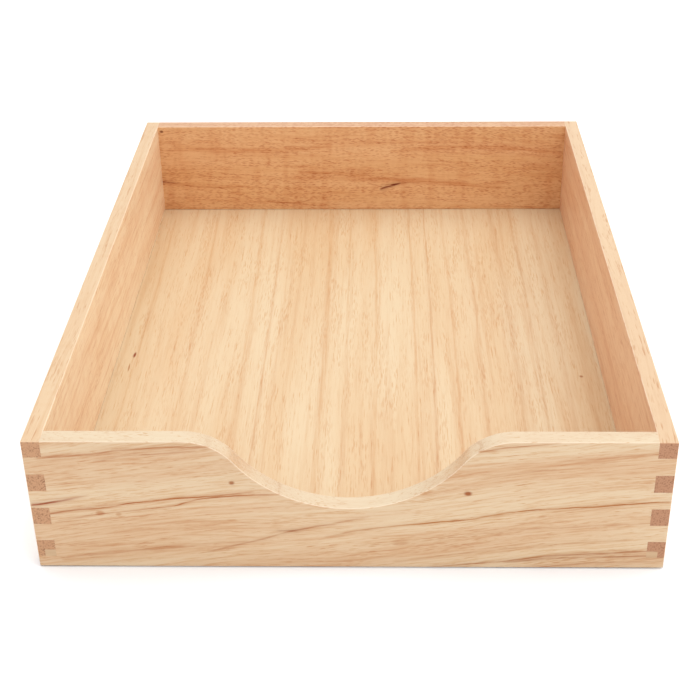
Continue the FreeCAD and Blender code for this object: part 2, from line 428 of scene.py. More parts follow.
    def _paint_sheen_and_highlights(self, tree: Tree, place: Node, ground: Node) -> Node:
        """Paint a sheen over the faces that look up and a highlight along the rounded arrises, by mixing in
        set colours.

        Args:
            tree: The material's tree.
            place: The piece's own coordinates.
            ground: The planed face's colour, before its pores.

        Returns:
            The colour with the painted sheen and painted highlights.
        """
        parts = add_node(tree, "SeparateXYZ", {}, {0: place.outputs["Normal"]})
        # Painted sheen: the faces that look up are mixed towards the edge colour, greyed like a sheen of the
        # light above.
        top_sheen_mask = add_node(tree, "MapRange", SMOOTH, {
            "Value": parts.outputs["Z"], "From Min": 0.45, "From Max": 0.95, "To Max": self.top_sheen_share,
        })
        edge = add_node(tree, "Mix", BLEND, {0: top_sheen_mask, 6: ground, 7: linear(self.edge)})
        # Painted highlight: the rounded arrises, half turned towards the board's thickness, are mixed
        # towards the arris colour.
        lean = add_node(tree, "Math", {"operation": "ABSOLUTE"}, {0: parts.outputs[self._through()]})
        rises = add_node(tree, "MapRange", SMOOTH, {"Value": lean, "From Min": 0.15, "From Max": 0.5})
        falls = add_node(tree, "MapRange", SMOOTH, {
            "Value": lean, "From Min": 0.98, "From Max": 0.8, "To Max": self.arris_highlight_share,
        })
        rounded = add_node(tree, "Math", TIMES, {0: rises, 1: falls})
        return add_node(tree, "Mix", BLEND, {0: rounded, 6: edge, 7: linear(self.arris)})

    def _pores(self, tree: Tree, grain: Node) -> Node:
        """Add the open pores: short thin dashes in clusters, and long streaks.

        Args:
            tree: The material's tree.
            grain: The grain's coordinates in mm.

        Returns:
            1 in a pore, 0 beside it.
        """
        long, wide = self.pore_size
        cells = add_node(tree, "VectorMath", TIMES, {0: grain, 1: (1 / long, 1 / wide, 1 / wide)})
        dash = add_node(tree, "TexVoronoi", {}, {"Vector": cells, "Scale": 1.0})
        slim = add_node(tree, "MapRange", SMOOTH, {"Value": dash, "From Min": 0.44, "From Max": 0.22})
        crowd = self._texture(tree, grain, PORE_CROWDS, 3.0)
        share = self.pore_share
        gate = add_node(tree, "MapRange", SMOOTH, {
            "Value": crowd, "From Min": 0.64 - 0.34 * share, "From Max": 0.8 - 0.3 * share,
        })
        short = add_node(tree, "Math", TIMES, {0: slim, 1: gate})
        threads = self._texture(tree, grain, self.streak_size, 2.0, 0.6)
        streak = add_node(tree, "MapRange", SMOOTH, {"Value": threads, "From Min": 0.6, "From Max": 0.7})
        return add_node(tree, "Math", {"operation": "MAXIMUM"}, {0: short, 1: streak})

    def _own_marks(self, tree: Tree, place: Node, fibre: Node, plain: Node, reach: float) -> Node:
        """Lay this board's own veins and knots over the one face that shows them.

        Args:
            tree: The material's tree.
            place: The piece's own coordinates.
            fibre: The fine fibre noise, which frays the veins.
            plain: The colour so far.
            reach: Half the piece's length along the grain, in mm.

        Returns:
            The colour with the veins and knots.
        """
        if not self.veins and not self.knots:
            return plain
        parts = add_node(tree, "SeparateXYZ", {}, {0: place.outputs["Object"]})
        along, across = (
            add_node(tree, "Math", TIMES, {0: parts.outputs[axis.value], 1: 1 / MM})
            for axis in (self.grain, self.figure)
        )
        ragged = self._frayed(tree, place, across)
        share = add_node(tree, "MapRange", {}, {"Value": along, "From Min": -reach, "From Max": reach})
        face = plain
        for vein in self.veins:
            face = self._vein(tree, vein, share, ragged, fibre, face, reach)
        for knot in self.knots:
            face = self._knot(tree, knot, along, ragged, face)
        outward = unit(self._through(), 1.0 if self.figure is Axis.ACROSS else -1.0)
        facing = add_node(tree, "VectorMath", {"operation": "DOT_PRODUCT"}, {
            0: place.outputs["Normal"], 1: outward,
        })
        shown = add_node(tree, "MapRange", {}, {"Value": facing, "From Min": -0.3, "From Max": 0.3})
        return add_node(tree, "Mix", BLEND, {0: shown, 6: plain, 7: face})

    def _frayed(self, tree: Tree, place: Node, across: Node) -> Node:
        """Shake the measure across the grain by a little, so that no vein is ruled.

        Args:
            tree: The material's tree.
            place: The piece's own coordinates.
            across: The distance across the grain, in mm.

        Returns:
            The shaken distance, in mm.
        """
        long, wide = FRAY_SIZE
        stretch = [1 / (wide * MM)] * 3
        stretch[self.grain.value] = 1 / (long * MM)
        slow = add_node(tree, "Mapping", {}, {
            "Vector": place.outputs["Object"], "Scale": tuple(stretch), "Location": self.seed,
        })
        noise = add_node(tree, "TexNoise", {}, {"Vector": slow, "Scale": 1.0, "Detail": 5.0})
        shake = add_node(tree, "Math", {"operation": "MULTIPLY_ADD"}, {0: noise, 1: 2 * FRAY, 2: -FRAY})
        return add_node(tree, "Math", {"operation": "ADD"}, {0: across, 1: shake})

    def _vein(self, tree: Tree, vein: Vein, share: Node, across: Node, fibre: Node, face: Node,
              reach: float) -> Node:
        """Lay one vein over the face: a broken dark core in a soft halo.

        Args:
            tree: The material's tree.
            vein: Its path, strength, width and colour.
            share: The distance along the board, from 0 to 1.
            across: The shaken distance across the grain, in mm.
            fibre: The fine fibre noise.
            face: The colour so far.
            reach: Half the board's length, in mm.

        Returns:
            The colour with the vein.
        """
        low = min(point[1] for point in vein.path) - 1
        high = max(point[1] for point in vein.path) + 1
        path = add_node(tree, "FloatCurve", {}, {"Value": share})
        force = add_node(tree, "FloatCurve", {}, {"Value": share})
        stops = [(point[0] + reach) / (2 * reach) for point in vein.path]
        self._bend(path, [(s, (point[1] - low) / (high - low)) for s, point in zip(stops, vein.path)])
        self._bend(force, list(zip(stops, vein.strength)), fade=VEIN_FADE)
        centre = add_node(tree, "Math", {"operation": "MULTIPLY_ADD"}, {0: path, 1: high - low, 2: low})
        off = add_node(tree, "Math", {"operation": "SUBTRACT"}, {0: across, 1: centre})
        away = add_node(tree, "Math", {"operation": "ABSOLUTE"}, {0: off})
        core = add_node(tree, "MapRange", SMOOTH, {
            "Value": away, "From Min": 0.8 * vein.width, "From Max": 0.2 * vein.width, "To Max": CORE_DEPTH,
        })
        halo = add_node(tree, "MapRange", SMOOTH, {
            "Value": away, "From Min": HALO_WIDTH * vein.width, "From Max": 0.0, "To Max": HALO_DEPTH,
        })
        line = add_node(tree, "Math", {"operation": "ADD"}, {0: core, 1: halo})
        broken = add_node(tree, "MapRange", {}, {
            "Value": fibre, "From Min": 0.36, "From Max": 0.56, "To Min": 0.5,
        })
        worn = add_node(tree, "Math", TIMES, {0: line, 1: broken})
        shown = add_node(tree, "Math", TIMES, {0: worn, 1: force})
        return add_node(tree, "Mix", STAIN, {0: shown, 6: face, 7: linear(vein.colour)})

    def _bend(self, node: Node, points: list[Point], fade: Optional[float] = None) -> None:
        """Draw a curve node's line.

        Args:
            node: The curve node.
            points: The points of the line, left to right.
            fade: How far outside its ends the line falls to nothing, if it does.
        """
        if fade is not None:
            points = [(points[0][0] - fade, 0.0), *points, (points[-1][0] + fade, 0.0)]
        curve = node.mapping.curves[0]
        while len(curve.points) < len(points):
            curve.points.new(0.5, 0.5)
        for place, (x, y) in zip(curve.points, points):
            place.location = (min(max(x, 0.0), 1.0), y)
            place.handle_type = "AUTO_CLAMPED"
        node.mapping.update()

    def _knot(self, tree: Tree, knot: Knot, along: Node, across: Node, face: Node) -> Node:
        """Lay one knot over the face.

        Args:
            tree: The material's tree.
            knot: Its place, size, strength and colour.
            along: The distance along the grain, in mm.
            across: The shaken distance across the grain, in mm.
            face: The colour so far.

        Returns:
            The colour with the knot.
        """
        place = add_node(tree, "CombineXYZ", {}, {0: along, 1: across})
        moved = add_node(tree, "VectorMath", {"operation": "SUBTRACT"}, {0: place, 1: (*knot.place, 0.0)})
        sized = add_node(tree, "VectorMath", {"operation": "DIVIDE"}, {0: moved, 1: (*knot.radii, 1.0)})
        away = add_node(tree, "VectorMath", {"operation": "LENGTH"}, {0: sized})
        spot = add_node(tree, "MapRange", SMOOTH, {
            "Value": away, "From Min": 1.0, "From Max": 0.3, "To Max": knot.strength,
        })
        return add_node(tree, "Mix", STAIN, {0: spot, 6: face, 7: linear(knot.colour)})

    def _facing_along(self, tree: Tree, place: Node) -> Node:
        """Find the faces that cut across the fibres.

        Args:
            tree: The material's tree.
            place: The piece's own coordinates.

        Returns:
            1 where the wood is cut straight across, 0 on the planed faces.
        """
        facing = add_node(tree, "VectorMath", {"operation": "DOT_PRODUCT"}, {
            0: place.outputs["Normal"], 1: unit(self.grain.value),
        })
        turned = add_node(tree, "Math", {"operation": "ABSOLUTE"}, {0: facing})
        return add_node(tree, "MapRange", SMOOTH, {"Value": turned, "From Min": 0.65, "From Max": 1.0})

    def _cut_face(self, tree: Tree, place: Node, face: Node, across: Node) -> Node:
        """Darken and speckle the faces that cut across the fibres.

        Args:
            tree: The material's tree.
            place: The piece's own coordinates.
            face: The planed face's colour.
            across: How far each point faces along the grain.

        Returns:
            The colour all over the piece.
        """
        grit = add_node(tree, "TexNoise", {}, {
            "Vector": place.outputs["Object"], "Scale": 1 / PORE_MOUTHS, "Detail": 2.0, "Roughness": 0.6,
        })
        specks = add_node(tree, "MapRange", SMOOTH, {"Value": grit, "From Min": 0.45, "From Max": 0.72})
        cloud = add_node(tree, "TexNoise", {}, {
            "Vector": place.outputs["Object"], "Scale": 1 / MOUTH_CROWDS, "Detail": 1.0,
        })
        patchy = add_node(tree, "MapRange", {}, {
            "Value": cloud, "From Min": 0.3, "From Max": 0.7, "To Min": 0.45,
        })
        depth = add_node(tree, "Math", TIMES, {0: specks, 1: patchy})
        cut = add_node(tree, "Mix", BLEND, {0: depth, 6: linear(self.cut), 7: linear(self.cut_dark)})
        return add_node(tree, "Mix", BLEND, {0: across, 6: face, 7: cut})

    def _lacquer(self, tree: Tree, colour: Node, fibre: Node, pores: Node, across: Node) -> None:
        """Finish the surface: satin wood under a thin clear coat that sinks into the pores.

        Args:
            tree: The material's tree.
            colour: The colour all over the piece.
            fibre: The fine fibre noise.
            pores: Where the pores are.
            across: How far each point faces along the grain.
        """
        thread = add_node(tree, "Math", TIMES, {0: fibre, 1: FIBRE_RELIEF})
        relief = add_node(tree, "Math", {"operation": "SUBTRACT"}, {0: thread, 1: pores})
        bump = add_node(tree, "Bump", {}, {"Height": relief, "Strength": 0.35, "Distance": PORE_SINK})
        rough = add_node(tree, "MapRange", {}, {
            "Value": across, "To Min": self.roughness, "To Max": self.roughness + CUT_ROUGHER,
        })
        surface = add_node(tree, "BsdfPrincipled", {}, {
            "Base Color": colour, "Roughness": rough, "IOR": 1.5, "Specular IOR Level": 0.32,
            "Coat Weight": 0.12, "Coat Roughness": 0.34, "Normal": bump,
        })
        add_node(tree, "OutputMaterial", {}, {"Surface": surface})


FRONT_VEINS = (
    Vein(((-120.6, 55.6), (-102, 57.4), (-80, 60.4), (-54.6, 61.3)), (0.45, 0.7, 0.75, 0.4), 0.9, "#D09A63"),
    Vein(((-98, 54.6), (-80, 57.4), (-62, 59)), (0.4, 0.5, 0.3), 0.7, "#D09A63"),
    Vein(((-128.6, 31.9), (-120, 33.6), (-106.6, 36.6)), (1.0, 0.85, 0.2), 0.95, "#AF5900"),
    Vein(((-120.6, 27.9), (-98, 31), (-81.9, 34), (-60.7, 36.1), (-40.6, 38.7)),
         (0.5, 0.85, 1.0, 1.0, 0.5), 0.6, "#CC8E40"),
    Vein(((-116, 24.6), (-96, 28.2), (-74, 31.2), (-50, 36.6), (-27, 38.2)),
         (0.3, 0.55, 0.8, 0.9, 0.5), 0.5, "#CC8E40"),
    Vein(((-128, 26.4), (-112, 29.4), (-96, 32.6)), (0.5, 0.45, 0.2), 0.6, "#D6A472"),
    Vein(((-116.6, 4.5), (-92, 8), (-68.6, 11), (-44, 13.5)), (0.3, 0.45, 0.5, 0.3), 1.0, "#DBB184"),
    Vein(((-56, 8.6), (-40, 13.4), (-22.6, 19.1), (-8.6, 22.5), (6, 26)),
         (0.3, 0.55, 0.7, 0.5, 0.25), 0.8, "#CC9860"),
    Vein(((-30, 19.4), (-24.6, 19.2), (-19, 19.9)), (0.2, 0.6, 0.2), 0.6, "#B98446"),
    Vein(((-8, 16.5), (13, 21.1), (30, 23), (46, 25.1), (73.4, 30), (100.8, 32.3), (128.4, 34.3)),
         (0.3, 0.75, 0.9, 1.0, 0.9, 1.0, 0.7), 0.65, "#CC9444"),
    Vein(((6, 11), (34, 14.5), (62, 19), (96, 22), (126, 24)), (0.2, 0.4, 0.3, 0.4, 0.3), 0.7, "#DBB184"),
    Vein(((20, 3), (50, 8), (84, 12.5), (112, 15)), (0.3, 0.45, 0.4, 0.3), 0.8, "#DBB184"),
    Vein(((46.8, 58.2), (64, 61.2), (80.5, 62.8)), (0.4, 0.7, 0.3), 0.6, "#CB9660"),
    Vein(((84, 54.4), (104, 56.2), (122, 58)), (0.3, 0.5, 0.4), 0.6, "#DBB184"),
    Vein(((52, 46), (80, 50.5), (104, 54)), (0.2, 0.35, 0.2), 0.7, "#DDB68C"),
    Vein(((35, 0.4), (65.4, 4.1), (90.3, 7.1), (128.5, 9.1)), (0.6, 0.9, 0.9, 0.7), 0.7, "#C48E58"),
    Vein(((65.4, 3.4), (96, 5.6), (128, 6.4)), (0.5, 0.7, 0.8), 0.7, "#C48E58"),
    Vein(((78, 0.6), (100, 2.6), (126, 3.8)), (0.4, 0.5, 0.4), 0.6, "#CE9C66"),
)
FRONT_KNOTS = (
    Knot((-100.6, 28.0), (2.6, 1.9), 0.75, "#D8A878"),
    Knot((-93.2, 27.4), (1.8, 1.5), 0.5, "#DDB488"),
    Knot((47.4, 38.4), (2.2, 1.7), 1.0, "#B97A3E"),
    Knot((-46.6, 43.4), (1.6, 1.3), 0.9, "#BC8450"),
    Knot((20.5, 13.0), (4.5, 2.6), 0.4, "#DDB488"),
)
BACK_VEINS = (
    Vein(((-121, 27.4), (-117, 27.2), (-112, 27)), (1.0, 0.9, 0.2), 0.8, "#A45A34"),
    Vein(((-112, 26), (-96, 24), (-80, 23.4)), (0.4, 0.6, 0.4), 0.7, "#D09A6C"),
    Vein(((14, 23.4), (17, 24.4), (21, 25.6)), (1.0, 1.0, 0.9), 1.15, "#8A3A06"),
    Vein(((21, 25.8), (28, 26.6), (36, 27)), (0.6, 0.4, 0.2), 0.6, "#C48A5C"),
    Vein(((-36, 34), (0, 31), (40, 27), (84, 24)), (0.3, 0.5, 0.5, 0.3), 2.4, "#DDB088"),
    Vein(((-56, 14), (-44, 13), (-34, 14)), (0.4, 0.7, 0.4), 0.6, "#C88E5C"),
    Vein(((-110, 50), (-60, 48), (-20, 52)), (0.3, 0.5, 0.3), 3.2, "#DDB088"),
    Vein(((20, 47), (60, 50), (118, 46)), (0.3, 0.5, 0.4), 2.6, "#DDB088"),
)
# The panel's veins run its whole length, each bowed a little in the middle: the place across, the bow,
# the strengths, half the width and the colour.
PANEL_VEINS = tuple(
    Vein(((-150, x), (0, x + bow), (152, x - bow)), strength, width, colour)
    for x, bow, strength, width, colour in (
        (-112.0, 0.6, (0.28, 0.28, 0.14), 0.9, "#E2B27C"),
        (-86.0, 0.8, (0.28, 0.21, 0.14), 1.0, "#E6BC8C"),
        (-57.9, 1.0, (0.21, 0.32, 0.28), 2.0, "#E6BC8C"),
        (-46.9, 0.6, (0.2, 0.3, 0.2), 0.8, "#DCA66C"),
        (-41.0, 0.9, (0.25, 0.2, 0.1), 0.6, "#DCA66C"),
        (-17.4, 1.2, (0.21, 0.35, 0.28), 2.2, "#E6BC8C"),
        (-6.0, 0.4, (0.2, 0.22, 0.25), 0.9, "#E0B078"),
        (9.0, 0.8, (0.28, 0.35, 0.28), 1.6, "#E6BC8C"),
        (29.0, 0.7, (0.24, 0.35, 0.32), 1.2, "#E2B27C"),
        (38.0, 0.5, (0.22, 0.38, 0.38), 0.9, "#D69C5C"),
        (49.0, 1.1, (0.28, 0.35, 0.28), 1.4, "#E2B27C"),
        (61.7, 0.8, (0.21, 0.32, 0.28), 1.8, "#E0B488"),
        (79.0, 1.2, (0.28, 0.3, 0.28), 2.8, "#DDB48C"),
        (90.0, 0.7, (0.28, 0.35, 0.28), 1.3, "#DDB48C"),
        (102.0, 1.0, (0.2, 0.25, 0.2), 3.0, "#DDB48C"),
        (113.0, 0.8, (0.14, 0.2, 0.14), 2.4, "#DDB48C"),
    )
)
PANEL_KNOTS = (
    Knot((-12.5, -112.7), (3.4, 0.9), 1.0, "#A8582E"),
    Knot((-24.0, -113.6), (5.0, 0.6), 0.8, "#C58A4E"),
    Knot((-31.7, 110.8), (1.4, 1.2), 0.8, "#C08452"),
)
# In each wood, edge and top_sheen_share set a painted sheen on the faces that look up.
FRONT_WOOD = Hardwood(
    "rubberwood_front_board", Axis.ACROSS, Axis.UP, "#D5BB99", "#CBA57F", "#DFAD60", "#DAA450",
    cut="#BC8D67", cut_dark="#815436", tilt=7.0, band=11.0, ring=1.3, ring_depth=0.22, fibre_depth=0.55,
    pore_depth=0.55, pore_share=0.35, pore_size=(6.0, 0.5), line_depth=0.26, streak_size=(9.0, 0.45),
    edge="#C9BBA2", top_sheen_share=0.6, band_share=0.85, seed=(31.0, 7.0, 12.0), veins=FRONT_VEINS,
    knots=FRONT_KNOTS,
)
# Its colours are darker and more orange than the side boards': partly the board's own tone, partly painted
# shade on its inner face, where little light falls.
BACK_WOOD = Hardwood(
    "rubberwood_back_board", Axis.ACROSS, Axis.UP, "#E2B485", "#D7A36E", "#D9A06C", "#C88450",
    cut="#B2835F", tilt=-1.0, band=16.0, ring_depth=0.3, fibre_depth=0.45, pore_depth=0.6, pore_share=0.95,
    pore_size=(3.4, 0.55), streak_size=(4.2, 0.6), line_depth=0.3, ripple_depth=0.22, edge="#B49176",
    top_sheen_share=0.6, veins=BACK_VEINS, knots=(Knot((-119.0, 60.5), (1.6, 1.2), 0.9, "#7A4426"),),
    seed=(210.0, 43.0, 5.0),
)
# Its colours are the palest of the four boards: partly the board's own tone, partly painted light on its
# inner face, which faces the light from the right.
LEFT_WOOD = Hardwood(
    "rubberwood_left_board", Axis.ALONG, Axis.UP, "#F2DAB8", "#E7C29D", "#E0B07C", "#D8A878",
    cut="#BC8D67", cut_dark="#815436", tilt=0.5, pore_depth=0.5, pore_share=0.3, ring_depth=0.35,
    line_depth=0.25, fibre_depth=0.4, ripple_depth=0.14, edge="#B2926D", top_sheen_share=0.6,
    seed=(77.0, 21.0, 300.0),
)
# Its colours are darker and pinker than the left board's: partly the board's own tone, partly painted shade
# on its inner face, which faces away from the light from the right.
RIGHT_WOOD = Hardwood(
    "rubberwood_right_board", Axis.ALONG, Axis.UP, "#E7BF9B", "#DCAA85", "#E0B084", "#D8A878",
    cut="#B07F5E", cut_dark="#815436", tilt=-0.5, pore_depth=0.6, pore_share=0.45, ring_depth=0.3,
    line_depth=0.25, fibre_depth=0.35, ripple_depth=0.12, edge="#BFAB8B", top_sheen_share=0.65,
    seed=(402.0, 90.0, 61.0),
)
PANEL_WOOD = Hardwood(
    "rubberwood_veneer_panel", Axis.ALONG, Axis.ACROSS, "#D3BD9B", "#CCAB82", "#E0B07C", "#DCA350",
    band=20.0, ring=3.2, ring_depth=0.18, fibre_depth=0.2, pore_depth=0.42, pore_share=0.55, line_depth=0.12,
    pore_size=(7.5, 0.5), streak_size=(14.0, 0.6), wander=1.2, seed=(12.0, 500.0, 33.0), veins=PANEL_VEINS,
    knots=PANEL_KNOTS,
)
PLUG_WOOD = Hardwood(
    "rubberwood_plug", Axis.ACROSS, Axis.UP, "#C5A682", "#BC9873", "#DDB488", "#D8A878",
    pore_depth=0.4, seed=(9.0, 9.0, 9.0),
)


# ---------------------------------------------------------------- the wooden pieces

SHOULDER_STEPS = 16
HOLLOW_STEPS = 56
ARRIS_STEPS = 3
SOFT_ANGLE = math.radians(35)


@dataclass
class Outline:
    """A board's outline, drawn point after point on one plane and then thickened.

    Attributes:
        name: The finished board's name.
        plane: Where the outline's zero lies.
        along: The direction of the outline's first number; its second number is the height.
        at: Where the drawing point stands now.
    """

    name: str
    plane: Vector
    along: Vector
    at: Vector = field(default_factory=Vector)

    def _place(self, point: Point) -> Vector:
        """Give a point of the outline its place in the tray."""
        return self.plane + self.along * point[0] + Vector((0, 0, point[1]))

    def start(self, point: Point) -> None:
        """Put down the first point: a small plane, cut down to one corner.

        Args:
            point: The outline's first point.
        """
        clear_selection()
        self.at = self._place(point)
        bpy.ops.mesh.primitive_plane_add(size=MM, location=self.at)
        bpy.context.object.name = self.name
        bpy.ops.object.transform_apply(location=True, rotation=True, scale=True)
        bpy.ops.object.mode_set(mode="EDIT")
        bpy.ops.mesh.merge(type="CENTER")
        bpy.ops.mesh.select_mode(type="VERT")
        bpy.ops.mesh.select_all(action="SELECT")

    def line(self, *points: Point) -> None:
        """Draw straight on to each point in turn.

        Args:
            points: The corners to go to.
        """
        for point in points:
            goal = self._place(point)
            bpy.ops.mesh.extrude_region_move(TRANSFORM_OT_translate={"value": goal - self.at})
            self.at = goal

    def arc(self, centre: Point, degrees: float, steps: int, end: Point) -> None:
        """Swing round a centre; a positive angle turns anticlockwise as the front board is seen.

        Args:
            centre: The arc's centre.
            degrees: How far to swing.
            steps: How many straight runs stand for the arc.
            end: Where it comes out.
        """
        bpy.ops.mesh.spin(steps=steps, angle=math.radians(degrees), center=self._place(centre),
                          axis=(0, 1, 0))
        self.at = self._place(end)

    def thicken(self, thickness: Vector) -> Solid:
        """Close the outline and draw it out into a board.

        Args:
            thickness: From the outline's plane to the board's other face.

        Returns:
            The board, in object mode.
        """
        bpy.ops.mesh.select_all(action="SELECT")
        bpy.ops.mesh.remove_doubles(threshold=HAIR)
        bpy.ops.mesh.select_all(action="SELECT")
        bpy.ops.mesh.edge_face_add()
        bpy.ops.mesh.extrude_region_move(TRANSFORM_OT_translate={"value": thickness})
        bpy.ops.mesh.select_all(action="SELECT")
        bpy.ops.mesh.normals_make_consistent(inside=False)
        bpy.ops.object.mode_set(mode="OBJECT")
        return bpy.context.object


@dataclass
class WoodPiece:
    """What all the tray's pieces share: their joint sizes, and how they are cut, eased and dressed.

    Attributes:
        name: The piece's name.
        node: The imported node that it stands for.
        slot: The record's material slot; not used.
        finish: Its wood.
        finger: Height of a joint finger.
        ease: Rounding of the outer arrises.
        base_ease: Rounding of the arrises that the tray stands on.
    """

    name: str
    node: str
    slot: str
    finish: Hardwood
    finger: float = 8.4 * MM
    ease: float = 0.5 * MM
    base_ease: float = 0.5 * MM

    def cut(self, board: Solid, low: Vector, high: Vector) -> None:
        """Cut a rectangular groove.

        Args:
            board: The board that loses the wood.
            low: The groove's lowest corner.
            high: Its highest corner.
        """
        clear_selection()
        bpy.ops.mesh.primitive_cube_add(size=1, location=(low + high) / 2, scale=high - low)
        cutter = bpy.context.object
        take_up(board)
        bpy.ops.object.modifier_add(type="BOOLEAN")
        groove = board.modifiers[-1]
        groove.operation = "DIFFERENCE"
        groove.solver = "EXACT"
        groove.object = cutter
        bpy.ops.object.modifier_apply(modifier=groove.name)
        take_up(cutter)
        bpy.ops.object.delete()

    def round_over(self, board: Solid, test: EdgeTest, radius: float) -> None:
        """Round the arrises that pass a test.

        Args:
            board: The board in hand.
            test: Picks the arrises.
            radius: How much is rounded away.
        """
        take_up(board)
        bpy.ops.object.mode_set(mode="EDIT")
        if pick_edges(test):
            bpy.ops.mesh.bevel(offset=radius, segments=ARRIS_STEPS, profile=0.5, affect="EDGES",
                               clamp_overlap=False)
        bpy.ops.object.mode_set(mode="OBJECT")

    def dress(self, board: Solid, reach: float) -> None:
        """Even out the shading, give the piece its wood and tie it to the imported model.

        Args:
            board: The finished mesh.
            reach: Half its length along the grain.
        """
        take_up(board)
        bpy.ops.object.shade_smooth_by_angle(angle=SOFT_ANGLE)
        bpy.ops.object.modifier_add(type="WEIGHTED_NORMAL")
        even = board.modifiers[-1]
        even.keep_sharp = True
        bpy.ops.object.modifier_apply(modifier=even.name)
        board.data.materials.clear()
        board.data.materials.append(self.finish.material(reach / MM))
        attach(board, "root")
        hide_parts(self.node)
        log.info("%s: %d faces", self.name, len(board.data.polygons))


@dataclass
class Corner:
    """The sizes that the four corners share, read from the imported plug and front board.

    Attributes:
        low, high: The tray's lowest and highest corners.
        wall: Board thickness.
        web: Wood left behind the groove.
        groove_low, groove_high: The groove's lower and upper face.
    """

    low: Vector
    high: Vector
    wall: float
    web: float
    groove_low: float
    groove_high: float

    @classmethod
    def read(cls) -> "Corner":
        """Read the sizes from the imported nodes."""
        front_low, front_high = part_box("front_board")
        plug_low, plug_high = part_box("front_left_groove_plug")
        return cls(CAD_BOX[0], CAD_BOX[1], front_high.y - front_low.y, plug_high.y - plug_low.y,
                   plug_low.z, plug_high.z)

    def levels(self, finger: float) -> list[float]:
        """List the heights at which the fingers change over, from the table up.

        Args:
            finger: Height of a finger.

        Returns:
            The heights, the table and the top edge included.
        """
        heights = [self.low.z]
        level = self.groove_low
        while level < self.high.z - HAIR:
            heights.append(level)
            level += finger
        return [*heights, self.high.z]


@dataclass
class Board(WoodPiece):
    """What the four boards share: how their ends are cut to fit each other.

    Attributes:
        corner: The sizes shared by the corners.
    """

    corner: Optional[Corner] = None

    def climb(self, levels: list[float], half: float, shoulder: float, out: bool) -> list[Point]:
        """List the corners of the joint up one end, as distances from the middle.

        Args:
            levels: The heights at which the fingers change over.
            half: Half the tray's size along the board.
            shoulder: Half the board's length between the joints.
            out: Whether the board reaches the tray's end at the lowest level.

        Returns:
            The corners after the lowest one, up to the top edge.
        """
        corners = []
        for level in levels[1:-1]:
            here, there = (half, shoulder) if out else (shoulder, half)
            corners += [(here, level), (there, level)]
            out = not out
        return [*corners, (half if out else shoulder, levels[-1])]


@dataclass
class CrossBoard(Board):
    """The front or the back board.

    Attributes:
        outer: Where its outer face lies on Y.
        inward: Which way its thickness goes, +1 for the front board.
        scoop_depth: How far the hand scoop dips; 0 for a plain board.
        scoop_radius: The hollow's radius.
        shoulder_radius: The shoulders' radius.
    """

    outer: float = 0.0
    inward: int = 1
    scoop_depth: float = 0.0
    scoop_radius: float = 57.0 * MM
    shoulder_radius: float = 25.0 * MM

    def build(self) -> Solid:
        """Make the board.

        Returns:
            The finished board.
        """
        corner = self.corner
        half = corner.high.x
        shoulder = half - corner.wall
        top = corner.high.z
        levels = corner.levels(self.finger)
        climb = self.climb(levels, half, shoulder, out=True)
        pen = Outline(self.name, Vector((0, self.outer, 0)), Vector((1, 0, 0)))
        pen.start((-half, levels[0]))
        pen.line(*[(-x, z) for x, z in climb])
        offset = 0.0
        if self.scoop_depth:
            offset = self._scoop(pen, top)
        pen.line((shoulder, top), *[(x, z) for x, z in reversed(climb[:-1])], (half, levels[0]))
        pen.line((-half, levels[0]))
        board = pen.thicken(Vector((0, self.inward * corner.wall, 0)))
        inner = self.outer + self.inward * corner.wall
        back = inner - self.inward * (corner.wall - corner.web)
        groove = sorted((back, inner + self.inward * MM))
        self.cut(board, Vector((-shoulder, groove[0], corner.groove_low)),
                 Vector((shoulder, groove[1], corner.groove_high)))
        self.round_over(board, self._outer_arris(half, offset, top, inner), self.ease)
        self.round_over(board, self._base_arris(), self.base_ease)
        self.dress(board, half)
        return board

    def _scoop(self, pen: Outline, top: float) -> float:
        """Draw the hand scoop: a shoulder, the hollow and the other shoulder.

        Args:
            pen: The outline, which stands at the top edge's left end.
            top: The top edge's height.

        Returns:
            How far from the middle the scoop begins.
        """
        both = self.scoop_radius + self.shoulder_radius
        drop = both - self.scoop_depth
        offset = math.sqrt(both ** 2 - drop ** 2)
        swing = math.degrees(math.acos(drop / both))
        meet = offset * self.scoop_radius / both
        dip = top - self.shoulder_radius * (1 - drop / both)
        pen.line((-offset, top))
        pen.arc((-offset, top - self.shoulder_radius), -swing, SHOULDER_STEPS, (-meet, dip))
        pen.arc((0, top - self.scoop_depth + self.scoop_radius), 2 * swing, HOLLOW_STEPS, (meet, dip))
        pen.arc((offset, top - self.shoulder_radius), -swing, SHOULDER_STEPS, (offset, top))
        return offset

    def _outer_arris(self, half: float, offset: float, top: float, inner: float) -> EdgeTest:
        """Pick the arrises along the top, on both faces, and down the outer corners.

        Args:
            half: Half the tray's width.
            offset: Half the scoop's width, 0 where there is none.
            top: The top edge's height.
            inner: Where the inner face lies.

        Returns:
            The test for an edge.
        """
        lowest = top - self.scoop_depth - HAIR

        def picks(a: Vector, b: Vector) -> bool:
            """Say whether an edge is one of those arrises."""
            on_face = any(near(a.y, face) and near(b.y, face) for face in (self.outer, inner))
            flat = near(a.z, top) and near(b.z, top)
            hollow = offset and max(abs(a.x), abs(b.x)) < offset + HAIR and min(a.z, b.z) > lowest
            corner = all(near(abs(p.x), half) and near(p.y, self.outer) for p in (a, b))
            return bool((on_face and (flat or hollow)) or corner)

        return picks

    def _base_arris(self) -> EdgeTest:
        """Pick the outer arrises that stand on the table.

        Returns:
            The test for an edge.
        """
        def picks(a: Vector, b: Vector) -> bool:
            """Say whether an edge is one of those arrises."""
            low = near(a.z, 0) and near(b.z, 0)
            inner = self.outer + self.inward * self.corner.wall
            return low and not (near(a.y, inner) and near(b.y, inner))

        return picks


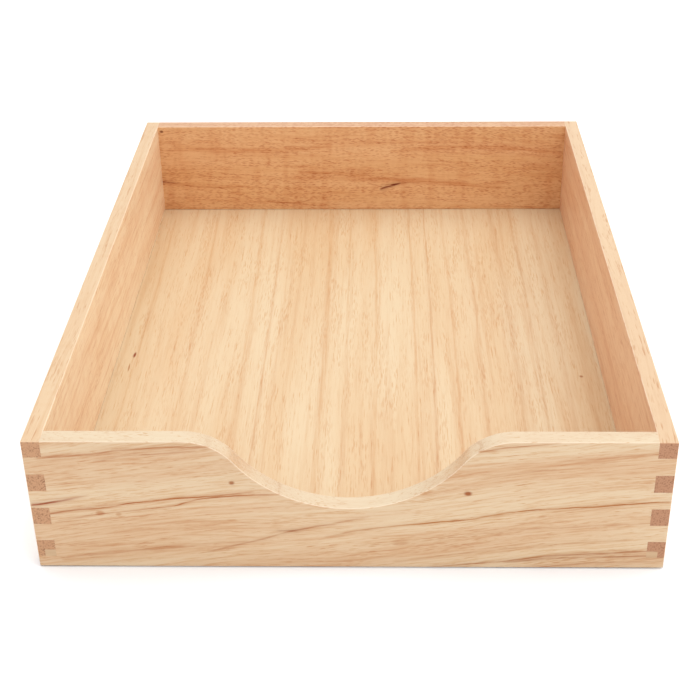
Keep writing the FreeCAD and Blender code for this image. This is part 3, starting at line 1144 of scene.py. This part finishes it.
@dataclass
class SideBoard(Board):
    """The left or the right board.

    Attributes:
        side: -1 for the left board, +1 for the right.
    """

    side: int = -1

    def build(self) -> Solid:
        """Make the board.

        Returns:
            The finished board.
        """
        corner = self.corner
        half = corner.high.y
        shoulder = half - corner.wall
        outer = self.side * corner.high.x
        inner = outer - self.side * corner.wall
        levels = corner.levels(self.finger)
        climb = self.climb(levels, half, shoulder, out=False)
        pen = Outline(self.name, Vector((outer, 0, 0)), Vector((0, 1, 0)))
        pen.start((-shoulder, levels[0]))
        pen.line(*[(-y, z) for y, z in climb])
        pen.line(*[(y, z) for y, z in reversed(climb)], (shoulder, levels[0]), (-shoulder, levels[0]))
        board = pen.thicken(Vector((inner - outer, 0, 0)))
        back = inner + self.side * (corner.wall - corner.web)
        groove = sorted((back, inner - self.side * MM))
        self.cut(board, Vector((groove[0], -half - MM, corner.groove_low)),
                 Vector((groove[1], half + MM, corner.groove_high)))
        self._mark_out(board, shoulder)
        self.round_over(board, self._arris(outer, inner, half, shoulder, corner.high.z), self.ease)
        self.round_over(board, self._base_arris(outer), self.base_ease)
        self.dress(board, half)
        return board

    def _mark_out(self, board: Solid, shoulder: float) -> None:
        """Score the board where the joints begin, so that the inner arris is eased only between them.

        Args:
            board: The board in hand.
            shoulder: How far from the middle the joints begin.
        """
        take_up(board)
        bpy.ops.object.mode_set(mode="EDIT")
        for line in (-shoulder, shoulder):
            bpy.ops.mesh.select_all(action="SELECT")
            bpy.ops.mesh.bisect(plane_co=(0, line, 0), plane_no=(0, 1, 0))
        bpy.ops.object.mode_set(mode="OBJECT")

    def _arris(self, outer: float, inner: float, half: float, shoulder: float, top: float) -> EdgeTest:
        """Pick the arrises along the top and down the outer corners.

        Args:
            outer: Where the outer face lies.
            inner: Where the inner face lies.
            half: Half the tray's depth.
            shoulder: How far from the middle the joints begin.
            top: The top edge's height.

        Returns:
            The test for an edge.
        """
        def picks(a: Vector, b: Vector) -> bool:
            """Say whether an edge is one of those arrises."""
            high = near(a.z, top) and near(b.z, top)
            outside = near(a.x, outer) and near(b.x, outer)
            end = all(near(abs(p.y), half) for p in (a, b))
            inside = near(a.x, inner) and near(b.x, inner)
            between = max(abs(a.y), abs(b.y)) < shoulder + HAIR
            return (high and (outside or end or (inside and between))) or (outside and end)

        return picks

    def _base_arris(self, outer: float) -> EdgeTest:
        """Pick the outer arris that stands on the table.

        Args:
            outer: Where the outer face lies.

        Returns:
            The test for an edge.
        """
        return lambda a, b: all(near(p.z, 0) and near(p.x, outer) for p in (a, b))


@dataclass
class BottomPanel(WoodPiece):
    """The thin sheet that lies in the grooves.

    Attributes:
        lip: Rounding of its edges, which are hidden in the grooves.
    """

    lip: float = 0.4 * MM

    def build(self) -> Solid:
        """Make the panel.

        Returns:
            The finished panel.
        """
        low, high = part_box(self.node)
        middle = (low + high) / 2
        clear_selection()
        bpy.ops.mesh.primitive_plane_add(size=1, location=(middle.x, middle.y, low.z))
        sheet = bpy.context.object
        sheet.name = self.name
        sheet.scale = (high.x - low.x, high.y - low.y, 1)
        bpy.ops.object.transform_apply(location=True, rotation=True, scale=True)
        bpy.ops.object.mode_set(mode="EDIT")
        bpy.ops.mesh.select_all(action="SELECT")
        bpy.ops.mesh.extrude_region_move(TRANSFORM_OT_translate={"value": (0, 0, high.z - low.z)})
        bpy.ops.mesh.select_all(action="SELECT")
        bpy.ops.mesh.normals_make_consistent(inside=False)
        bpy.ops.object.mode_set(mode="OBJECT")
        self.round_over(sheet, lambda a, b: near(a.z, b.z), self.lip)
        self.dress(sheet, high.y)
        return sheet


@dataclass
class GroovePlug(WoodPiece):
    """A plug glued into the end of a side groove.

    Attributes:
        nose: Chamfer round its hidden end, which lets it start in the groove.
    """

    nose: float = 0.5 * MM

    def build(self) -> Solid:
        """Make the plug.

        Returns:
            The finished plug.
        """
        low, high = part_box(self.node)
        clear_selection()
        bpy.ops.mesh.primitive_cube_add(size=1, location=(low + high) / 2, scale=high - low)
        plug = bpy.context.object
        plug.name = self.name
        bpy.ops.object.transform_apply(location=True, rotation=True, scale=True)
        hidden = high.y if low.y < 0 else low.y
        take_up(plug)
        bpy.ops.object.mode_set(mode="EDIT")
        pick_edges(lambda a, b: near(a.y, hidden) and near(b.y, hidden))
        bpy.ops.mesh.bevel(offset=self.nose, segments=1, affect="EDGES")
        bpy.ops.object.mode_set(mode="OBJECT")
        self.dress(plug, high.x)
        return plug


# ---------------------------------------------------------------- the room

FLOOR_SIDE = 30
SENSOR_WIDTH = 36
NEAREST = 0.01


@dataclass
class Studio:
    """A white floor, soft light from all round and a camera in front of the tray.

    Attributes:
        sky: Strength of the even light from all round.
        lamps: Name, place, power in watts and side of each soft light.
        camera_place: Where the camera stands.
        camera_turn: How it is turned, in radians.
        lens: Its focal length, in mm.
        shift: How far the lens is shifted.
        floor_gap: Daylight under the boards, whose edges never touch a table all along.
    """

    sky: float = 1.0
    lamps: tuple[tuple[str, Triple, float, float], ...] = (
        ("right_softbox", (0.55, -0.25, 1.2), 8.0, 1.5),
        ("top_softbox", (-0.05, 0.3, 1.5), 7.2, 1.4),
    )
    camera_place: Triple = (0.0148, -0.5808, 0.3743)
    camera_turn: Triple = (1.0555, 0.0098, 0.0164)
    lens: float = 68.6
    shift: Point = (-0.015, -0.10)
    floor_gap: float = 0.5 * MM

    def build(self) -> None:
        """Set up the floor, the lights and the camera."""
        self._floor()
        self._lights()
        self._camera()
        bpy.context.scene.view_settings.view_transform = "Standard"

    def _floor(self) -> None:
        """Lay a wide floor of matt white paint just under the tray."""
        clear_selection()
        bpy.ops.mesh.primitive_plane_add(size=FLOOR_SIDE, location=(0, 0, CAD_BOX[0].z - self.floor_gap))
        floor = bpy.context.object
        floor.name = "floor"
        bpy.ops.object.transform_apply(location=True, rotation=True, scale=True)
        paint = bpy.data.materials.new("matt_white_paint")
        paint.use_nodes = True
        tree = paint.node_tree
        tree.nodes.clear()
        surface = add_node(tree, "BsdfPrincipled", {}, {
            "Base Color": linear("#F8FAFD"), "Roughness": 0.9, "Specular IOR Level": 0.2,
        })
        add_node(tree, "OutputMaterial", {}, {"Surface": surface})
        floor.data.materials.append(paint)

    def _lights(self) -> None:
        """Hang the soft lights and switch on the even light from all round."""
        world = bpy.data.worlds.new("white_room")
        bpy.context.scene.world = world
        world.use_nodes = True
        tree = world.node_tree
        tree.nodes.clear()
        glow = add_node(tree, "Background", {}, {"Color": (1, 1, 1, 1), "Strength": self.sky})
        add_node(tree, "OutputWorld", {}, {"Surface": glow})
        for name, place, power, side in self.lamps:
            clear_selection()
            bpy.ops.object.light_add(type="AREA", location=place)
            lamp = bpy.context.object
            lamp.name = name
            lamp.data.energy = power
            lamp.data.size = side
            lamp.rotation_euler = (-Vector(place)).to_track_quat("-Z", "Y").to_euler()

    def _camera(self) -> None:
        """Stand the camera in front of the tray and look down into it."""
        clear_selection()
        bpy.ops.object.camera_add(location=self.camera_place, rotation=self.camera_turn)
        camera = bpy.context.object
        camera.data.lens = self.lens
        camera.data.sensor_width = SENSOR_WIDTH
        camera.data.shift_x, camera.data.shift_y = self.shift
        camera.data.clip_start = NEAREST
        bpy.context.scene.camera = camera


def make_pieces() -> list[WoodPiece]:
    """List the tray's nine pieces with their woods and sizes.

    Returns:
        The pieces, in the order of making.
    """
    corner = Corner.read()
    pieces: list[WoodPiece] = [
        CrossBoard("front_scooped_board", "front_board", "front_wood", FRONT_WOOD, corner=corner,
                   outer=corner.low.y, inward=1, scoop_depth=32.9 * MM),
        CrossBoard("back_plain_board", "back_board", "back_wood", BACK_WOOD, corner=corner,
                   outer=corner.high.y, inward=-1),
        SideBoard("left_fingered_board", "left_side_board", "left_wood", LEFT_WOOD, corner=corner,
                  side=-1),
        SideBoard("right_fingered_board", "right_side_board", "right_wood", RIGHT_WOOD, corner=corner,
                  side=1),
        BottomPanel("floating_panel", "bottom_panel", "panel_wood", PANEL_WOOD),
    ]
    for place in ("front_left", "front_right", "rear_left", "rear_right"):
        pieces.append(GroovePlug(f"{place}_plug", f"{place}_groove_plug", "plug_wood", PLUG_WOOD))
    return pieces


def main() -> None:
    """Build the studio and the tray."""
    logging.basicConfig(level=logging.INFO, format="%(name)s %(message)s")
    Studio().build()
    for piece in make_pieces():
        piece.build()


if __name__ == "__main__":
    main()
